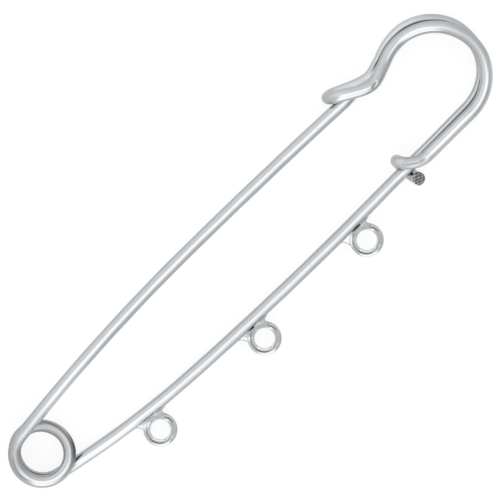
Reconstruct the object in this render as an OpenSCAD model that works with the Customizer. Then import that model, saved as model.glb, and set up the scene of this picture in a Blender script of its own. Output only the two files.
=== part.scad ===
// Safety pin brooch: one bent wire with a sprung coil, a looped head that forms the catch,
// and three soldered rings along the spine. It lies flat, coil at -X and head at +X.

/* [Overall] */
// Length over the coil and the head
overall_l = 75; // [73:0.5:78]
// Diameter of the wire
wire_d = 1.5; // [1.4:0.05:1.5]

/* [Coil] */
// Diameter over the outside of the coil
coil_d = 8; // [7.8:0.1:8.4]
// Heading of the arm where it leaves the coil, in degrees off the long axis
arm_heading = 7.5; // [7.2:0.1:7.6]
// Heading of the spine where it leaves the coil, in degrees off the long axis
spine_heading = -12.3; // [-13:0.1:-11.6]
// How far the lower turn sits off the upper turn
coil_drift = 0.36; // [0:0.02:0.4]
// Rise of the coil over one turn
coil_pitch = 1.8; // [1.8:0.01:1.86]

/* [Pin arm] */
// Length of the taper that ends in the point
taper_l = 4.9; // [4:0.1:5.5]
// Radius of the blunted point
point_r = 0.06; // [0.05:0.01:0.12]

/* [Rings] */
// Number of rings on the spine
ring_count = 3; // [1:1:3]
// Distance along the spine from the coil to the first ring
first_ring = 12.95; // [12:0.05:14]
// Distance between neighbouring rings
ring_pitch = 16.35; // [15:0.05:17]
// How far the second ring sits off the even spacing
ring_slip = -0.24; // [-0.4:0.02:0.4]
// Outer diameter of a ring
ring_d = 4; // [3.8:0.1:4.2]
// Diameter of the hole in a ring
ring_hole_d = 2.4; // [2.2:0.1:2.6]
// Height of a ring's rounded band
ring_h = 0.9; // [0.85:0.05:1]
// Radius of the solder fillets beside a ring
solder_r = 0.6; // [0.4:0.05:0.7]
// Thickness of the solder web between ring and spine
solder_h = 0.7; // [0.5:0.05:0.8]

/* [Head and catch] */
// Radius of the head's loop at the middle of the wire
head_r = 6.1; // [6:0.05:6.2]
// Sideways step between the upper and the lower strand of the head
strand_step = 0.65; // [0.55:0.05:0.7]
// Height of the catch between the middles of its two strands
catch_gap = 3; // [2.98:0.01:3.06]

/* [Hidden] */

wire_r = wire_d / 2;
wire_sides = 16;
touching = wire_d + 0.02;
joint_gap = 0.06;
guide_step = 0.65;
long_step = 4;

// Frame: x and y of the coil's centre, so that the origin is under the middle of the box
coil_at = [coil_d / 2 - overall_l / 2, 1.43, 0];

// Coil: the arm leaves the upper turn and the spine leaves the lower one
coil_r = coil_d / 2 - wire_r;
coil_start = 90 + arm_heading;
coil_end = 360 + 270 + spine_heading;
coil_turns = (coil_end - coil_start) / 360;
coil_ease = 0.15;
coil_rise = coil_pitch * (coil_turns - coil_ease);
drift_from = 0.8;
drift_over = 0.85;
drift_heading = 46;
coil_steps = 54;

// Arm and spine: each row is one gentle bend
BEND_LENGTH = 0;
BEND_TURN = 1;
arm_bends = [
    [30, -7.1],
    [29.6, -2.2],
];
spine_bends = [
    [19.7, 9.9],
    [32.2, 4.2],
];
arm_z = [wire_r + coil_rise, 2.14];
spine_z = [wire_r, wire_d * 1.5];
spine_lift = 1.4;

// Head: centre of the loop, and the heights of its lower and upper strand by angle
head_at = [overall_l - coil_d / 2 - wire_r - head_r, -0.1];
head_end = 122;
HEAD_ANGLE = 0;
HEAD_LOWER = 1;
HEAD_UPPER = 2;
head_levels = [
    [-90, 2.00, 3.42],
    [-45, 1.74, 3.22],
    [0, 1.45, 3.00],
    [45, 1.14, 2.64],
    [90, 0.90, 2.36],
    [122, 0.78, 2.72],
];

// How far each strand of the head lies outside the round loop, by angle
head_shifts = [
    [-90, -0.10, 0],
    [-70, -0.08, 0],
    [-45, 0.04, 0],
    [-20, 0.08, -0.02],
    [0, 0.01, -0.12],
    [20, 0.10, -0.26],
    [45, 0.06, -0.31],
    [70, 0.02, -0.28],
    [100, -0.10, -0.17],
    [122, 0, 0],
];

// Catch: guide points of its strands from the head's loop to the fold, as x, y and z
catch_lower = [
    [60.1, 5.52, 0.76],
    [59.3, 5.22, 0.75],
    [58.5, 5.10, 0.75],
    [57.6, 5.26, 0.75],
    [56.6, 5.62, 0.75],
    [55.6, 6.03, 0.75],
];
catch_upper = [
    [55.5, 5.36, wire_r + catch_gap],
    [56.4, 4.84, 3.66],
    [57.3, 4.40, 3.58],
    [58.1, 4.20, 3.46],
    [58.9, 4.32, 3.30],
    [59.6, 4.56, 3.14],
    [60.2, 4.82, 2.96],
];
fold_heading = 156;
fold_middle = [54.66, 6.16, wire_r + catch_gap / 2];
fold_lean = [0, -0.30];

// Wrap: the tail goes over the spine, round its far side and under it, and ends at its near side
wrap_x = 54;
wrap_lead = 2.3;
wrap_from = 65;
wrap_across = 180;
wrap_to = 362;
wrap_back = 0.4;
wrap_spread = 0.32;
wrap_step = 27;

// Vectors and paths
function unit(v) = v / norm(v);
function level(p, z) = [p[0], p[1], z];
function mix(a, b, t) = a + (b - a) * t;
function polar(r, a) = [r * cos(a), r * sin(a)];

// Cubic spline that a path's guide points pull on, taken at its knots; the ends stay in place
function eased(p) = [
    for (i = [0 : len(p) - 1])
        i == 0 || i == len(p) - 1 ? p[i] : (p[i - 1] + 4 * p[i] + p[i + 1]) / 6
];

// Points on a straight stretch, without its last point
function straight(a, b, step) =
    let (n = max(1, round(norm(b - a) / step)))
    [for (i = [0 : n - 1]) mix(a, b, i / n)];

// Position and heading after s along a chain of gentle bends
function along(at, heading, bends, s, row = 0) =
    let (
        whole = bends[row][BEND_LENGTH],
        run = row == len(bends) - 1 ? s : min(s, whole),
        turn = bends[row][BEND_TURN] * run / whole,
        middle = heading + turn / 2,
        next = at + polar(run, middle)
    )
    s <= run ? [next, heading + turn] : along(next, heading + turn, bends, s - run, row + 1);

function total(bends) = [for (b = bends) b[BEND_LENGTH]] * [for (b = bends) 1];

// Points of a bowed run between two stations; its height eases in by the power lift
function bowed_path(at, heading, bends, z, lift, from, to, step) =
    let (whole = total(bends), n = round((to - from) / step))
    [
        for (i = [0 : n])
            let (s = mix(from, to, i / n))
            level(along(at, heading, bends, s)[0], mix(z[0], z[1], pow(s / whole, lift)))
    ];

// Tube through the points of a path, with a radius for each point
function tangent(p, i) =
    let (n = len(p) - 1)
    i == 0 ? unit(4 * p[1] - 3 * p[0] - p[2])
    : i == n ? unit(3 * p[n] - 4 * p[n - 1] + p[n - 2])
    : unit(p[i + 1] - p[i - 1]);
function carried(n, t) = unit(n - (n * t) * t);
function side_vectors(p) = [
    for (
        i = 0, n = carried([0, 0, 1], tangent(p, 0));
        i < len(p);
        i = i + 1, n = carried(n, tangent(p, min(i, len(p) - 1)))
    ) n
];

module tube(path, radii) {
    sides = side_vectors(path);
    points = [
        for (i = [0 : len(path) - 1])
            let (t = tangent(path, i), n = sides[i], b = cross(t, n))
            for (k = [0 : wire_sides - 1])
                let (a = 360 * k / wire_sides)
                path[i] + radii[i] * (cos(a) * n + sin(a) * b)
    ];
    walls = [
        for (i = [0 : len(path) - 2]) for (k = [0 : wire_sides - 1])
            let (
                a = i * wire_sides + k,
                b = i * wire_sides + (k + 1) % wire_sides
            )
            each [[a, a + wire_sides, b + wire_sides], [a, b + wire_sides, b]]
    ];
    first = [for (k = [0 : wire_sides - 1]) k];
    last = [for (k = [wire_sides - 1 : -1 : 0]) (len(path) - 1) * wire_sides + k];
    polyhedron(points, concat([first], walls, [last]));
}

function even(path) = [for (p = path) wire_r];

// Coil
function coil_z(u) =
    let (
        ease = coil_ease,
        v = coil_turns - u,
        near = u < ease ? (ease - u) * (ease - u) / (2 * ease) : 0,
        far = v < ease ? (ease - v) * (ease - v) / (2 * ease) : 0
    )
    wire_r + coil_rise - coil_pitch * (u - ease / 2 + near - far);

function coil_point(a) =
    let (
        u = (a - coil_start) / 360,
        push = coil_drift * sin(180 * max(0, u - drift_from) / drift_over)
    )
    level(polar(coil_r, a) + polar(push, drift_heading), coil_z(u));

coil_gap_angle = joint_gap / coil_r * 180 / PI;
arm_at = polar(coil_r, coil_start);
spine_at = [coil_point(coil_end)[0], coil_point(coil_end)[1]];
coil_path = [
    for (i = [0 : coil_steps])
        coil_point(mix(coil_start + coil_gap_angle, coil_end - coil_gap_angle, i / coil_steps))
];

// Pin arm
arm_l = total(arm_bends);
shaft_path = bowed_path(arm_at, arm_heading, arm_bends, arm_z, 1, 0, arm_l - taper_l, long_step);
taper_path = bowed_path(arm_at, arm_heading, arm_bends, arm_z, 1, arm_l - taper_l, arm_l, guide_step);
arm_path = concat(shaft_path, [for (i = [1 : len(taper_path) - 1]) taper_path[i]]);
taper_radii = [
    for (i = [1 : len(taper_path) - 1])
        let (u = i / (len(taper_path) - 1))
        max(point_r, wire_r * (1 - pow(u, 1.6)))
];

// Spine
spine_l = total(spine_bends);
spine_path = bowed_path(
    spine_at, spine_heading, spine_bends, spine_z, spine_lift, 0, spine_l - joint_gap, long_step
);
spine_end = along(spine_at, spine_heading, spine_bends, spine_l)[0];

// Head, catch and wrap
function by_angle(table, a, column) = lookup(a, [for (row = table) [row[HEAD_ANGLE], row[column]]]);

function head_arc(from, to, step_y, column) =
    let (n = round(abs(to - from) * PI / 180 * head_r / guide_step))
    [
        for (i = [0 : n])
            let (a = mix(from, to, i / n), r = head_r + by_angle(head_shifts, a, column))
            level(head_at + [0, step_y] + polar(r, a), by_angle(head_levels, a, column))
    ];

function fold() = [
    for (a = [-90 : 22.5 : 90])
        let (reach = polar(catch_gap / 2 * cos(a), fold_heading) + fold_lean * sin(a))
        fold_middle + level(reach, catch_gap / 2 * sin(a))
];

run_start = level(spine_end, spine_z[1]);
run_middle = [wrap_x + 4, mix(spine_end[1], head_at[1] - head_r + strand_step, 0.5), spine_z[1] + 0.02];
run_end = level(
    head_at + [0, strand_step - head_r - head_shifts[0][HEAD_LOWER]], head_levels[0][HEAD_LOWER]
);

function under_wrap(x) = mix(run_start, run_middle, (x - run_start[0]) / (run_middle[0] - run_start[0]));

function wrap_point(a) =
    let (
        over = max(0, 1 - (a - wrap_from) / (wrap_across - wrap_from)),
        under = max(0, (a - wrap_across) / (wrap_to - wrap_across)),
        x = wrap_x + wrap_lead * pow(over, 3) + wrap_back * pow(under, 2),
        r = touching + wrap_spread * pow(under, 3)
    )
    under_wrap(x) + [0, -r * cos(a), r * sin(a)];

wrap_turns = [for (a = [wrap_from : wrap_step : wrap_to]) wrap_point(a)];
upper_end = level(head_at - [0, head_r], head_levels[0][HEAD_UPPER]);

head_guides = concat(
    straight(run_start, run_middle, guide_step * 2),
    straight(run_middle, run_end, guide_step * 2),
    head_arc(-90, head_end, strand_step, HEAD_LOWER),
    catch_lower,
    fold(),
    catch_upper,
    head_arc(head_end, -90, 0, HEAD_UPPER),
    straight(upper_end, wrap_turns[0], guide_step * 2),
    wrap_turns
);

// One soldered ring: its hole is a true bore
module ring_band() {
    rotate_extrude($fn = 64)
        intersection() {
            translate([(ring_d + ring_hole_d) / 4, 0])
                circle(d = ring_h, $fn = 48);
            translate([ring_hole_d / 2, -ring_h])
                square([(ring_d - ring_hole_d) / 2, 2 * ring_h]);
        }
}

// Solder between a ring at the origin and the spine, whose middle is at y = spine_y
module solder_web(spine_y) {
    bite = 0.06;
    fillet_y = spine_y - wire_r - solder_r + bite;
    fillet_x = sqrt(pow(ring_d / 2 + solder_r - bite, 2) - pow(fillet_y, 2));
    web_y = fillet_y * ring_d / (ring_d + 2 * solder_r);
    translate([0, 0, -solder_h / 2])
        linear_extrude(solder_h)
            difference() {
                translate([-fillet_x, web_y])
                    square([2 * fillet_x, spine_y - web_y]);
                for (side = [-1, 1])
                    translate([side * fillet_x, fillet_y])
                        circle(r = solder_r, $fn = 48);
                circle(d = ring_hole_d, $fn = 64);
            }
}

function ring_station(i) = first_ring + i * ring_pitch + (i == 1 ? ring_slip : 0);
solder_overlap = 0.15;
ring_offset = ring_d / 2 + wire_r - solder_overlap;

module soldered_ring(i) {
    s = ring_station(i);
    foot = along(spine_at, spine_heading, spine_bends, s);
    z = mix(spine_z[0], spine_z[1], pow(s / spine_l, spine_lift));
    translate(level(foot[0] + polar(ring_offset, foot[1] - 90), z))
        rotate(foot[1]) {
            ring_band();
            solder_web(ring_offset);
        }
}

module pin_arm() {
    color("gainsboro")
        translate(coil_at)
            tube(arm_path, concat(even(shaft_path), taper_radii));
}

module coil_spring() {
    color("lightgray")
        translate(coil_at)
            tube(coil_path, even(coil_path));
}

module spine() {
    color("silver")
        translate(coil_at) {
            tube(spine_path, even(spine_path));
            for (i = [0 : ring_count - 1])
                soldered_ring(i);
        }
}

module head_and_catch() {
    path = eased(head_guides);
    color("silver")
        translate(coil_at)
            tube(path, even(path));
}

pin_arm();
coil_spring();
spine();
head_and_catch();
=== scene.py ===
import math

import bpy
import numpy as np
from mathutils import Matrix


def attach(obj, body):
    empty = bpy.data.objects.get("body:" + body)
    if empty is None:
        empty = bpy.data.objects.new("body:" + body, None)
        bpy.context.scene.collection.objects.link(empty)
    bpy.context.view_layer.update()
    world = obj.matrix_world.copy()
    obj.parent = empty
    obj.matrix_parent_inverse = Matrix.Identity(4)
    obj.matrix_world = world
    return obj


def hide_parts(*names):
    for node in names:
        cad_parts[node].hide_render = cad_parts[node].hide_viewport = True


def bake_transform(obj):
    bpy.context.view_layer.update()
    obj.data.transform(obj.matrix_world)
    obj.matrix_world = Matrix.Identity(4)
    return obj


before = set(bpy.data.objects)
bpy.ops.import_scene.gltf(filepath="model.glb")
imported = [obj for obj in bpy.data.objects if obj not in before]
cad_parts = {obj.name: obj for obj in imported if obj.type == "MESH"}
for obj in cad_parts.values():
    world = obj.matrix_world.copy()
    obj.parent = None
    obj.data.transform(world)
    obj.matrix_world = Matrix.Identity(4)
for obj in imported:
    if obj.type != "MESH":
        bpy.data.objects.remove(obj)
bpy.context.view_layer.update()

# Sizes of the pin, in millimetres
MM = 0.001
OVERALL_L = 75.0
WIRE_D = 1.5
WIRE_R = WIRE_D / 2
COIL_D = 8.0
COIL_R = COIL_D / 2 - WIRE_R
COIL_AT = np.array([COIL_D / 2 - OVERALL_L / 2, 1.43, 0.0])
UP = np.array([0.0, 0.0, 1.0])

# Coil: the headings of the wires that leave it, how far each turn falls, and how the lower one drifts aside
ARM_HEADING = 7.5
SPINE_HEADING = -12.3
COIL_START = 90 + ARM_HEADING
COIL_END = 360 + 270 + SPINE_HEADING
COIL_TURNS = (COIL_END - COIL_START) / 360
COIL_PITCH = 1.8
COIL_EASE = 0.15
COIL_RISE = COIL_PITCH * (COIL_TURNS - COIL_EASE)
COIL_DRIFT = 0.36
DRIFT_FROM = 0.8
DRIFT_OVER = 0.85
DRIFT_HEADING = 46

# Arm and spine: each bend is a length and the degrees that it turns
ARM_BENDS = [(30.0, -7.1), (29.6, -2.2)]
SPINE_BENDS = [(19.7, 9.9), (32.2, 4.2)]
ARM_L = sum(length for length, _ in ARM_BENDS)
SPINE_L = sum(length for length, _ in SPINE_BENDS)
ARM_Z = (WIRE_R + COIL_RISE, 2.14)
SPINE_Z = (WIRE_R, WIRE_D * 1.5)
SPINE_LIFT = 1.4
TAPER_L = 4.9
TAPER_POWER = 1.6
POINT_R = 0.06

# Head: the heights of its two strands by angle
HEAD_R = 6.1
HEAD_AT = np.array([OVERALL_L - COIL_D / 2 - WIRE_R - HEAD_R, -0.1])
HEAD_END = 122
STRAND_STEP = 0.65
GUIDE_STEP = 0.65
HEAD_ANGLES = [-90, -45, 0, 45, 90, 122]
HEAD_LOWER = [2.00, 1.74, 1.45, 1.14, 0.90, 0.78]
HEAD_UPPER = [3.42, 3.22, 3.00, 2.64, 2.36, 2.72]

# How far each strand of the head lies outside the round loop, by angle
SHIFT_ANGLES = [-90, -70, -45, -20, 0, 20, 45, 70, 100, 122]
LOWER_SHIFTS = [-0.10, -0.08, 0.04, 0.08, 0.01, 0.10, 0.06, 0.02, -0.10, 0]
UPPER_SHIFTS = [0, 0, 0, -0.02, -0.12, -0.26, -0.31, -0.28, -0.17, 0]

# Catch: guide points as x, y and z
CATCH_GAP = 3.0
CATCH_LOWER = [
    (60.1, 5.52, 0.76),
    (59.3, 5.22, 0.75),
    (58.5, 5.10, 0.75),
    (57.6, 5.26, 0.75),
    (56.6, 5.62, 0.75),
    (55.6, 6.03, 0.75),
]
CATCH_UPPER = [
    (55.5, 5.36, WIRE_R + CATCH_GAP),
    (56.4, 4.84, 3.66),
    (57.3, 4.40, 3.58),
    (58.1, 4.20, 3.46),
    (58.9, 4.32, 3.30),
    (59.6, 4.56, 3.14),
    (60.2, 4.82, 2.96),
]
FOLD_HEADING = 156
FOLD_MIDDLE = np.array([54.66, 6.16, WIRE_R + CATCH_GAP / 2])
FOLD_LEAN = np.array([0, -0.30])
FOLD_STEP = 22.5

# Wrap: its angles round the spine where it starts, crosses over and ends, and how it leads in and spreads
TOUCHING = WIRE_D + 0.02
WRAP_X = 54
WRAP_LEAD = 2.3
WRAP_FROM = 65
WRAP_ACROSS = 180
WRAP_TO = 362
WRAP_BACK = 0.4
WRAP_SPREAD = 0.32
WRAP_STEP = 27

# Middle of the run between the wrap and the head
RUN_MIDDLE_PAST_WRAP = 4
RUN_MIDDLE_RISE = 0.02

# Rings: station is the distance along the spine. The solder film's free edge runs from on_spine to on_ring.
# The channel is a crevice beside the spine: its two ends and its radius. The film is the way that it lies
# from the ring's middle, how far that way it starts, and how near to the middle it covers the ring
RING_OFFSET = 2.6
RINGS = [
    {
        "name": "ring_coil_end",
        "station": 12.95,
        "on_spine": (-2.18, 1.90),
        "on_ring": (-1.62, 1.15),
        "channel": (-1.00, -0.10, 0.03),
        "film": (250, -1.27, 1.34),
    },
    {
        "name": "ring_middle",
        "station": 29.06,
        "on_spine": (-2.55, 1.90),
        "on_ring": (-1.76, 0.94),
        "channel": (-1.15, -0.10, 0.075),
        "film": (221, 0.0, 1.60),
    },
    {
        "name": "ring_head_end",
        "station": 45.65,
        "on_spine": (-2.38, 1.90),
        "on_ring": (-1.90, 0.50),
        "channel": (-0.50, 0.65, 0.09),
        "film": (180, 0.80, 1.76),
    },
]

# Tubes: sides round the wire, and points along each stretch of it
SIDES = 48
SIDE_ANGLES = 2 * np.pi * np.arange(SIDES) / SIDES
FINE = 8
COIL_POINTS = 261
SPINE_GUIDES = 40
SHAFT_POINTS = 340
TAPER_POINTS = 60
POINT_ANGLES = (25, 50, 72)

# Unevenness of the drawn wire: waves round it, turns for each millimetre along it, and height
WAVES = [(2, 0.9, 0.005), (3, -0.53, 0.003)]
WAVES_FADE = 3.0

# Dents from the bending tools: middle on the wire's top, heading, half length, half width, depth, and the
# darkening in the dent
DENTS = [
    ("catch_bend", (58.34, 4.01, 4.1), 9, 0.42, 0.15, 0.13, 0.35),
    ("wrap_bend", (56.22, -6.25, 4.6), -10, 0.40, 0.22, 0.11, 0.40),
    ("wrap_crease", (55.05, -5.72, 4.5), -33, 1.00, 0.10, 0.05, 0.55),
]
DENT_REACH = 1.2

# Arcs round a ring or the coil are given as their middle, half width and softness, in degrees

# Matte and painted shade that dim the coil's highlights: arc, share of matte and of painted shade;
# and how far they fade along the arm
COIL_MATTE_AND_SHADE = [
    ((136, 44, 26), 0.75, 0.24),
    ((46, 44, 20), 0.75, 0.16),
    ((-24, 36, 24), 0.40, 0.08),
]
MATTE_AND_SHADE_FADE = 14.0
SHADE_FADE_POWER = 4

# Painted dark line along the coil's outer flank and painted shade past it: arcs with their share, widths,
# and how far out the line runs by angle, as a share of the wire's radius
FLANK_LINES = [((-4, 50, 12), 0.80), ((171, 34, 12), 0.60)]
FLANK_SHADES = [((-36, 24, 24), 0.90)]
FLANK_LINE_W = 0.14
FLANK_SHADE_W = 0.22
FLANK_ANGLES = [-180, -150, -60, 0, 46, 136, 180]
FLANK_FROM = [0.40, 0.12, 0.38, 0.48, 0.64, 0.10, 0.40]

# Painted highlight on the outer side of the arm and the spine next to the coil: a share below zero,
# how far it goes along the straight wires and into the coil, and over what length it fades
ARM_PAINTED_HIGHLIGHT = -0.37
SPINE_PAINTED_HIGHLIGHT = -0.22
HIGHLIGHT_L = 16.0
HIGHLIGHT_FADE = 8.0
COIL_HIGHLIGHT_L = 2.0
COIL_HIGHLIGHT_FADE = 1.4
HIGHLIGHT_SIDE = 0.5

# Patches of the frame wire with matte, painted shade and painted highlights: middle, radius and half
# height, share of matte, and share of painted shade, which is below zero where a highlight is painted
PATCH_END = 1.3
PATCH_FADE = 0.6
PATCHES = [
    ("spine", (38.0, -8.0, 1.2), (17.0, 4.0), 0.0, 0.05),
    ("wrap", (54.5, -5.7, 4.3), (2.3, 1.6), 0.85, -0.20),
    ("head_crest", (70.2, -0.6, 3.0), (3.4, 1.2), 0.70, 0.10),
    ("lower_strand", (64.1, 6.5, 0.9), (4.6, 1.0), 0.0, -0.26),
    ("head_side", (68.0, -4.8, 2.4), (3.6, 2.4), 0.0, -0.10),
    ("run", (60.0, -6.0, 2.7), (4.2, 2.4), 0.0, -0.14),
    ("catch", (57.4, 5.2, 1.6), (3.2, 2.6), 0.40, -0.14),
    ("fold", (54.9, 5.9, 2.2), (1.7, 2.4), 0.60, -0.10),
]

# Sheared end of the wire: how it flares, the radii of the rings of points over it, and its steps and ridges
CUT_FLARE = 0.10
CUT_FLARE_L = 0.6
CUT_RINGS = [0.985, 0.95, 0.90, 0.84, 0.77, 0.70, 0.63, 0.56, 0.49, 0.42, 0.35, 0.28, 0.21, 0.14, 0.07]
CUT_BEVEL = 0.04
CUT_STEP = 0.10
CUT_RIDGE = 0.05
CUT_PITCH = 0.30
CUT_HEADING = -16
CUT_TEAR = 0.25
CUT_EDGE = 0.14
CUT_STEP_W = 0.3
# Painted dark reflection on the cut face, with painted shade and light that follow its ridges and tears
CUT_PAINTED_DARK = 0.72
RIDGE_PAINTED_SHADE = 0.35
TEAR_PAINTED_SHADE = 0.25

# Painted shade in the crevice between two stretches of wire: how far apart they may be, and over what
# change of gap it starts; how far past the nearest points it reaches, which narrows across the head,
# and the width of its edge; its share at the wrap and elsewhere; the length that counts as one stretch;
# and how far it looks
CREVICE_GAP = 1.1
COIL_CREVICE_GAP = 0.35
CREVICE_ONSET = 0.5
CREVICE_REACH = (0.36, 0.28)
CREVICE_NARROWS_FROM_Y = -3
CREVICE_NARROWS_OVER = 3
COIL_CREVICE_REACH = 0.43
CREVICE_EDGE = 0.08
WRAP_CREVICE_SHADE = 0.10
CREVICE_SHADE = 0.92
CREVICE_SHADE_FROM_X = WRAP_X + 2
STRETCH_L = 4.0
SEARCH_R = 4 * WIRE_R


# Vectors and paths
def unit(v):
    return v / np.linalg.norm(v)


def polar(r, degrees):
    a = math.radians(degrees)
    return np.array([r * math.cos(a), r * math.sin(a)])


def level(p, z):
    return np.array([p[0], p[1], z])


def mix(a, b, t):
    return a + (b - a) * t


def smooth_min(a, b, k):
    h = np.maximum(k - np.abs(a - b), 0) / k
    return np.minimum(a, b) - h * h * k / 4


def smooth_max(a, b, k):
    return -smooth_min(-a, -b, k)


def smooth_step(x):
    t = np.clip(x, 0, 1)
    return t * t * (3 - 2 * t)


def in_arc(degrees, middle, half, soft):
    """One within an arc, falling to zero past its ends."""
    away = np.abs((degrees - middle + 180) % 360 - 180)
    return smooth_step((half + soft - away) / (2 * soft))


def in_arcs(degrees, arcs):
    return np.maximum.reduce([in_arc(degrees, *arc) for arc in arcs])


def strongest(degrees, arcs):
    """Largest share at each angle of a list of arcs with their shares."""
    return np.maximum.reduce([share * in_arc(degrees, *arc) for arc, share in arcs])


def along(at, heading, bends, s):
    """Position and heading after s along a chain of gentle bends."""
    for row, (length, turn) in enumerate(bends):
        run = s if row == len(bends) - 1 else min(s, length)
        turned = turn * run / length
        at = at + polar(run, heading + turned / 2)
        heading += turned
        s -= run
        if s <= 0:
            break
    return at, heading


def bowed_path(at, heading, bends, z, lift, stations):
    whole = sum(length for length, _ in bends)
    return np.array([
        level(along(at, heading, bends, s)[0], mix(z[0], z[1], (s / whole) ** lift))
        for s in stations
    ])


def straight(a, b, step):
    """Points on a straight stretch, without its last point."""
    n = max(1, round(np.linalg.norm(b - a) / step))
    return [mix(a, b, i / n) for i in range(n)]


def b_spline(guides, fine):
    """Cubic B-spline that the guide points pull on, with fine points from each guide to the next."""
    p = np.vstack([2 * guides[0] - guides[1], guides, 2 * guides[-1] - guides[-2]])
    t = np.arange(fine) / fine
    weights = np.stack([
        (1 - t) ** 3,
        3 * t ** 3 - 6 * t ** 2 + 4,
        -3 * t ** 3 + 3 * t ** 2 + 3 * t + 1,
        t ** 3,
    ], axis=1) / 6
    windows = np.stack([p[k:len(p) - 3 + k] for k in range(4)], axis=1)
    curve = np.einsum("sk,nkd->nsd", weights, windows).reshape(-1, 3)
    return np.vstack([curve, guides[-1]])


def distance_along(path):
    steps = np.linalg.norm(np.diff(path, axis=0), axis=1)
    return np.concatenate([[0], np.cumsum(steps)])


# Coil: u counts its turns from the arm
def coil_z(u):
    v = COIL_TURNS - u
    near = max(0, COIL_EASE - u) ** 2 / (2 * COIL_EASE)
    far = max(0, COIL_EASE - v) ** 2 / (2 * COIL_EASE)
    return WIRE_R + COIL_RISE - COIL_PITCH * (u - COIL_EASE / 2 + near - far)


def coil_point(degrees):
    u = (degrees - COIL_START) / 360
    drift = COIL_DRIFT * math.sin(math.radians(180 * max(0, u - DRIFT_FROM) / DRIFT_OVER))
    return level(polar(COIL_R, degrees) + polar(drift, DRIFT_HEADING), coil_z(u))


ARM_AT = polar(COIL_R, COIL_START)
SPINE_AT = coil_point(COIL_END)[:2]


def coil_path():
    return np.array([coil_point(a) for a in np.linspace(COIL_START, COIL_END, COIL_POINTS)])


# Arm
def arm_stations():
    shaft = np.linspace(0, ARM_L - TAPER_L, SHAFT_POINTS)
    taper = np.linspace(ARM_L - TAPER_L, ARM_L, TAPER_POINTS)
    return np.concatenate([shaft, taper[1:]])


def arm_radius(s):
    u = np.clip((s - (ARM_L - TAPER_L)) / TAPER_L, 0, 1)
    return np.maximum(POINT_R, WIRE_R * (1 - u ** TAPER_POWER))


# Head, catch and wrap
def head_arc(start, end, step_y, shifts, heights):
    n = round(math.radians(abs(end - start)) * HEAD_R / GUIDE_STEP)
    centre = HEAD_AT + np.array([0, step_y])
    points = []
    for a in np.linspace(start, end, n + 1):
        r = HEAD_R + np.interp(a, SHIFT_ANGLES, shifts)
        points.append(level(centre + polar(r, a), np.interp(a, HEAD_ANGLES, heights)))
    return points


def fold():
    points = []
    for a in np.arange(-90, 90 + FOLD_STEP, FOLD_STEP):
        c = math.cos(math.radians(a))
        s = math.sin(math.radians(a))
        reach = polar(CATCH_GAP / 2 * c, FOLD_HEADING) + FOLD_LEAN * s
        points.append(FOLD_MIDDLE + level(reach, CATCH_GAP / 2 * s))
    return points


SPINE_TIP = along(SPINE_AT, SPINE_HEADING, SPINE_BENDS, SPINE_L)[0]
RUN_START = level(SPINE_TIP, SPINE_Z[1])
RUN_MIDDLE = np.array([
    WRAP_X + RUN_MIDDLE_PAST_WRAP,
    mix(SPINE_TIP[1], HEAD_AT[1] - HEAD_R + STRAND_STEP, 0.5),
    SPINE_Z[1] + RUN_MIDDLE_RISE,
])
RUN_END = level(HEAD_AT + np.array([0, STRAND_STEP - HEAD_R - LOWER_SHIFTS[0]]), HEAD_LOWER[0])
UPPER_END = level(HEAD_AT - np.array([0, HEAD_R]), HEAD_UPPER[0])


def wrap_point(degrees):
    over = max(0, 1 - (degrees - WRAP_FROM) / (WRAP_ACROSS - WRAP_FROM))
    under = max(0, (degrees - WRAP_ACROSS) / (WRAP_TO - WRAP_ACROSS))
    x = WRAP_X + WRAP_LEAD * over ** 3 + WRAP_BACK * under ** 2
    r = TOUCHING + WRAP_SPREAD * under ** 3
    a = math.radians(degrees)
    middle = mix(RUN_START, RUN_MIDDLE, (x - RUN_START[0]) / (RUN_MIDDLE[0] - RUN_START[0]))
    return middle + np.array([0, -r * math.cos(a), r * math.sin(a)])


def wrap_turns():
    return [wrap_point(a) for a in range(WRAP_FROM, WRAP_TO + 1, WRAP_STEP)]


def frame_path():
    """Middle of the wire from the coil, along the spine and round the head to the cut end."""
    spine_stations = np.linspace(0, SPINE_L, SPINE_GUIDES, endpoint=False)
    spine = bowed_path(SPINE_AT, SPINE_HEADING, SPINE_BENDS, SPINE_Z, SPINE_LIFT, spine_stations)
    tail = wrap_turns()
    guides = np.array([
        *spine,
        *straight(RUN_START, RUN_MIDDLE, GUIDE_STEP * 2),
        *straight(RUN_MIDDLE, RUN_END, GUIDE_STEP * 2),
        *head_arc(-90, HEAD_END, STRAND_STEP, LOWER_SHIFTS, HEAD_LOWER),
        *[np.array(p) for p in CATCH_LOWER],
        *fold(),
        *[np.array(p) for p in CATCH_UPPER],
        *head_arc(HEAD_END, -90, 0, UPPER_SHIFTS, HEAD_UPPER),
        *straight(UPPER_END, tail[0], GUIDE_STEP * 2),
        *tail,
    ])
    return b_spline(guides, FINE)


# Meshes
def add_mesh(name, points, faces):
    """New mesh object from points in the coil's frame, in millimetres."""
    mesh = bpy.data.meshes.new(name)
    mesh.from_pydata(((points + COIL_AT) * MM).tolist(), [], faces)
    mesh.update()
    mesh.shade_smooth()
    piece = bpy.data.objects.new(name, mesh)
    bpy.context.scene.collection.objects.link(piece)
    return piece


def directions(path, first):
    """Unit tangents of a path that sets out in a given direction."""
    t = np.gradient(path, axis=0, edge_order=2)
    t[0] = first
    return t / np.linalg.norm(t, axis=1, keepdims=True)


def carried(start, tangents):
    """Side vectors that turn as little as they can along a path."""
    sides = []
    side = start
    for t in tangents:
        side = unit(side - (side @ t) * t)
        sides.append(side)
    return np.array(sides)


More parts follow.
